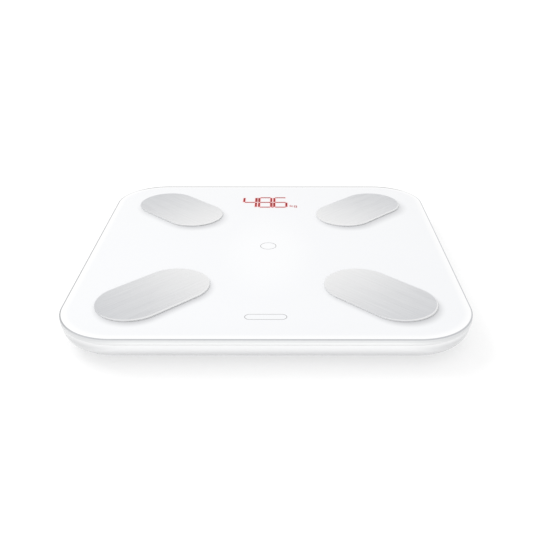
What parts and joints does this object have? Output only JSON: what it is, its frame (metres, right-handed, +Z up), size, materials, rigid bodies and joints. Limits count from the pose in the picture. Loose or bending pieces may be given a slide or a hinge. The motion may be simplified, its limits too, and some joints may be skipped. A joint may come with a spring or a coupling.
{
  "type": "bathroom scale",
  "caption": "Square glass-topped bathroom scale with rounded corners, diagonal steel body-contact electrodes, a hidden light-up display and sprung load-cell feet.",
  "frame": {"origin": "on the floor under the middle of the platform", "axes": "+Z up, +Y towards the display (toe) end, +X to the user's right"},
  "size_m": [0.26, 0.26, 0.0215],
  "materials": {
    "platform_glass": "white back-printed tempered glass, polished",
    "foam_tape": "white closed-cell foam",
    "frame_plastic": "moulded, fine satin",
    "case_plastic": "moulded, satin gloss",
    "cover_plastic": "moulded, satin gloss",
    "cup_plastic": "moulded, matt",
    "carrier_plastic": "moulded, matt",
    "bush_plastic": "natural nylon",
    "button_plastic": "moulded, matt",
    "electrode_steel": "brushed along its length",
    "adhesive": "clear acrylic film",
    "screw_steel": "zinc plated",
    "cell_steel": "nickel plated",
    "tinned_metal": "tinned",
    "contact_nickel": "nickel plated spring steel",
    "switch_metal": "pressed, bright",
    "gauge_silicone": "white silicone",
    "board_laminate": "green solder mask",
    "chip_plastic": "moulded epoxy",
    "connector_plastic": "natural nylon",
    "reflector_plastic": "moulded, matt",
    "diffuser_film": "frosted film",
    "led_resin": "clear resin",
    "ribbon_film": "polyester ribbon",
    "red_lead": "PVC insulation",
    "black_lead": "PVC insulation",
    "grey_lead": "PVC insulation",
    "battery_can": "printed sleeve, plain",
    "foot_rubber": "moulded, fine matt tread"
  },
  "bodies": {
    "scale_body": {"glass_platform": "platform_glass", "glass_tape": "foam_tape", "top_frame": "frame_plastic", "lower_case": "case_plastic", "case_screws": "screw_steel", "electrode_bonds": "adhesive", "electrode_bushes": "bush_plastic", "electrode_tags": "tinned_metal", "electrode_nuts": "screw_steel", "electrode_leads": "grey_lead", "gauge_seals": "gauge_silicone", "main_board": "board_laminate", "chip_bodies": "chip_plastic", "chip_legs": "tinned_metal", "radio_module": "tinned_metal", "passives": "chip_plastic", "connectors": "connector_plastic", "board_screws": "screw_steel", "unit_switch": "switch_metal", "display_reflector": "reflector_plastic", "display_diffuser": "diffuser_film", "display_board": "board_laminate", "display_leds": "led_resin", "display_screws": "screw_steel", "display_socket": "connector_plastic", "display_ribbon": "ribbon_film", "battery_contacts": "contact_nickel", "battery_springs": "contact_nickel", "battery_lead_positive": "red_lead", "battery_lead_negative": "black_lead", "battery_1": "battery_can", "battery_2": "battery_can", "battery_3": "battery_can", "battery_4": "battery_can", "electrode_toe_left": "electrode_steel", "load_cell_toe_left": "cell_steel", "cell_carrier_toe_left": "carrier_plastic", "load_cell_leads_toe_left": "red_lead", "electrode_toe_right": "electrode_steel", "load_cell_toe_right": "cell_steel", "cell_carrier_toe_right": "carrier_plastic", "load_cell_leads_toe_right": "red_lead", "electrode_heel_left": "electrode_steel", "load_cell_heel_left": "cell_steel", "cell_carrier_heel_left": "carrier_plastic", "load_cell_leads_heel_left": "red_lead", "electrode_heel_right": "electrode_steel", "load_cell_heel_right": "cell_steel", "cell_carrier_heel_right": "carrier_plastic", "load_cell_leads_heel_right": "red_lead"},
    "foot_toe_left": {"foot_pad_toe_left": "foot_rubber", "foot_cup_toe_left": "cup_plastic"},
    "foot_toe_right": {"foot_pad_toe_right": "foot_rubber", "foot_cup_toe_right": "cup_plastic"},
    "foot_heel_left": {"foot_pad_heel_left": "foot_rubber", "foot_cup_heel_left": "cup_plastic"},
    "foot_heel_right": {"foot_pad_heel_right": "foot_rubber", "foot_cup_heel_right": "cup_plastic"},
    "battery_door": {"battery_cover": "cover_plastic"},
    "button": {"unit_button": "button_plastic"}
  },
  "joints": [
    {"name": "foot_press_toe_left", "type": "slide", "parent": "scale_body", "child": "foot_toe_left", "axis": [0, 0, 1], "range_m": [-0.0005, 0]},
    {"name": "foot_press_toe_right", "type": "slide", "parent": "scale_body", "child": "foot_toe_right", "axis": [0, 0, 1], "range_m": [-0.0005, 0]},
    {"name": "foot_press_heel_left", "type": "slide", "parent": "scale_body", "child": "foot_heel_left", "axis": [0, 0, 1], "range_m": [-0.0005, 0]},
    {"name": "foot_press_heel_right", "type": "slide", "parent": "scale_body", "child": "foot_heel_right", "axis": [0, 0, 1], "range_m": [-0.0005, 0]},
    {"name": "battery_cover_hinge", "type": "hinge", "parent": "scale_body", "child": "battery_door", "pos_m": [0, -0.0733, 0.0045], "axis": [-1, 0, 0], "range_deg": [0, 95]},
    {"name": "unit_button_press", "type": "slide", "parent": "scale_body", "child": "button", "axis": [0, 0, 1], "range_m": [0, 0.0004], "stiffness_N_per_m": 2500}
  ]
}
